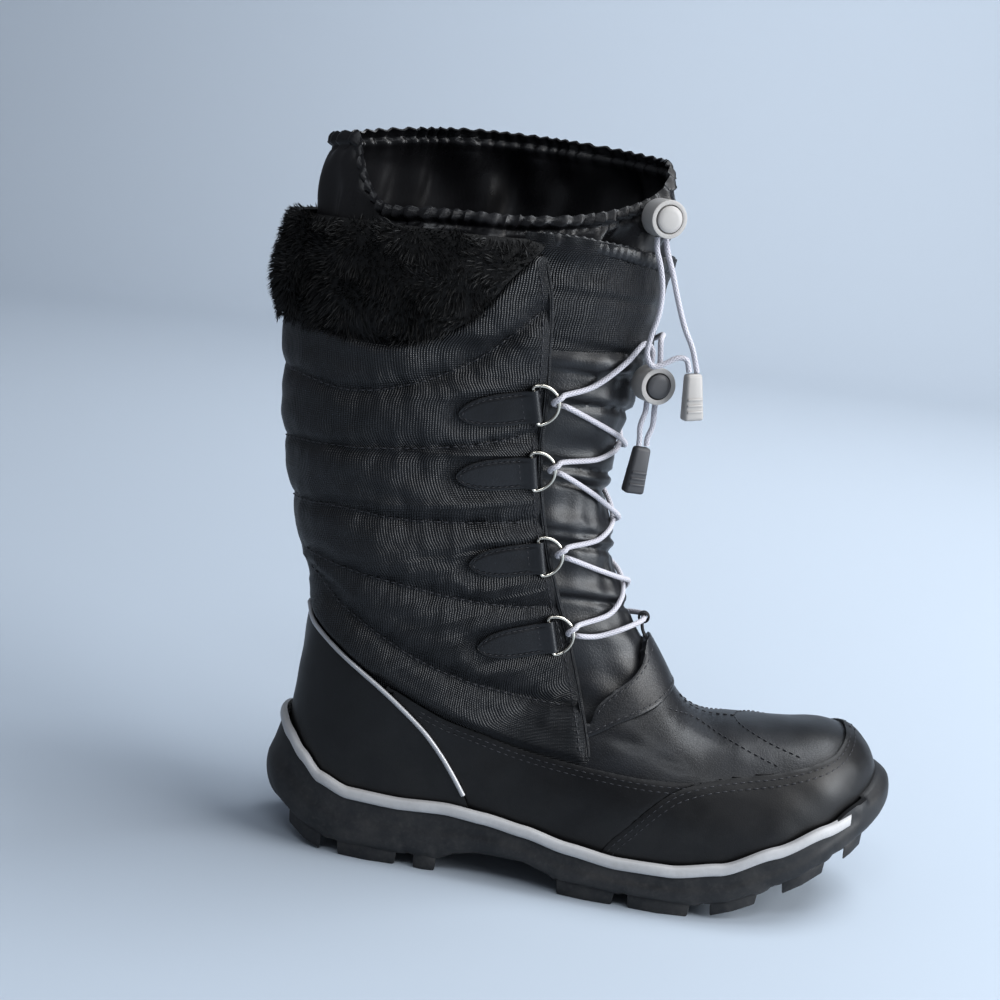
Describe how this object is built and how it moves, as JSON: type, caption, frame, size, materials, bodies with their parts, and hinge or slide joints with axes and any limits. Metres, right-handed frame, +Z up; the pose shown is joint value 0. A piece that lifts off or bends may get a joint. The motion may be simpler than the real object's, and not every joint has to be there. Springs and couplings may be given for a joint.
{
  "type": "snow boot",
  "caption": "Knee-low lace-up snow boot for the right foot with a quilted shaft, pile collar, drawstring snow cuff, toe and heel guards and a lugged rubber sole",
  "frame": {"origin": "on the flat tread of the heel, on the boot's middle line", "axes": "+X to the toe, -Y to the outer (lateral) side, +Y to the inner (medial) side, +Z up"},
  "size_m": [0.3071, 0.11, 0.331],
  "materials": {
    "sole_rubber": "charcoal moulded rubber, fine matt grain, dusty at the toe",
    "band_rubber": "light warm grey foxing strip, satin",
    "insole_felt": "black felt sock, matt",
    "shell_fabric": "black coated twill, quilted, satin grey sheen",
    "tongue_leather": "soft black synthetic leather with creases, satin",
    "trim_leather": "smooth black synthetic leather, satin",
    "fur_pile": "black short pile fur with dark grey tips",
    "cuff_nylon": "thin black nylon taffeta, soft sheen",
    "ring_metal": "thin plated wire, polished",
    "lace_elastic": "light lilac grey round elastic, braided",
    "lock_plastic": "light warm grey moulded plastic, fine grain"
  },
  "bodies": {
    "root": {"outsole": "sole_rubber", "midsole_band": "band_rubber", "insole": "insole_felt", "upper": "shell_fabric", "tongue": "tongue_leather", "heel_counter": "trim_leather", "rand_lateral": "trim_leather", "rand_medial": "trim_leather", "toe_cap": "trim_leather", "fur_collar": "fur_pile", "snow_cuff": "cuff_nylon", "ring_tab_lateral_1": "trim_leather", "d_ring_lateral_1": "ring_metal", "ring_tab_lateral_2": "trim_leather", "d_ring_lateral_2": "ring_metal", "ring_tab_lateral_3": "trim_leather", "d_ring_lateral_3": "ring_metal", "ring_tab_lateral_4": "trim_leather", "d_ring_lateral_4": "ring_metal", "ring_tab_medial_1": "trim_leather", "d_ring_medial_1": "ring_metal", "ring_tab_medial_2": "trim_leather", "d_ring_medial_2": "ring_metal", "ring_tab_medial_3": "trim_leather", "d_ring_medial_3": "ring_metal", "ring_tab_medial_4": "trim_leather", "d_ring_medial_4": "ring_metal", "lace_keeper": "trim_leather", "lace_cross_1": "lace_elastic", "lace_cross_2": "lace_elastic", "lace_cross_3": "lace_elastic", "lace_bar": "lace_elastic", "lace_tail_lateral": "lace_elastic", "lace_tail_medial": "lace_elastic", "lace_lock": "lock_plastic", "lace_drop_lateral": "lace_elastic", "lace_drop_medial": "lace_elastic", "lace_end": "lock_plastic", "cuff_cord_lateral": "lace_elastic", "cuff_cord_medial": "lace_elastic", "cuff_lock": "lock_plastic", "cuff_cord_end": "lock_plastic"}
  },
  "joints": []
}
